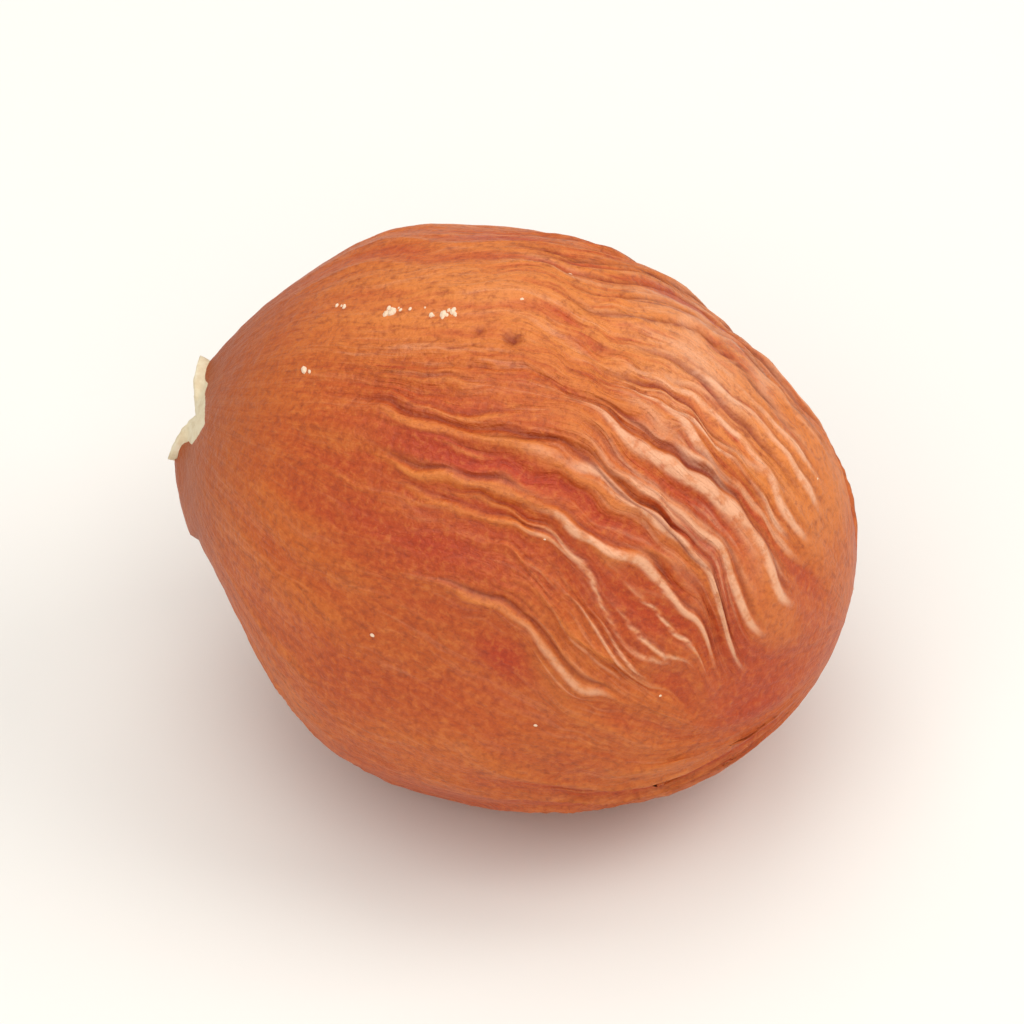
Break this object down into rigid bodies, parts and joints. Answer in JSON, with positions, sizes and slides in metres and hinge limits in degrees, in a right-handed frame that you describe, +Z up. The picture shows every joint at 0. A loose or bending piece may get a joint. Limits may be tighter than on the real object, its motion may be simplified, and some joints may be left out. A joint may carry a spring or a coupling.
{
  "type": "hazelnut",
  "caption": "Shelled hazelnut kernel in its wrinkled brown skin, with a pale broken root tip, lying on its side on a small flat spot.",
  "frame": {"origin": "middle of the kernel's footprint, at the height of the flat spot that it rests on", "axes": "+X along the kernel's length from its root tip to its blunt end, +Y across it, +Z up"},
  "size_m": [0.017, 0.0142, 0.0132],
  "materials": {
    "kernel_skin": "dry papery seed skin, orange-brown with paler worn crests and redder valleys, satin"
  },
  "bodies": {
    "root": {"kernel": "kernel_skin"}
  },
  "joints": []
}
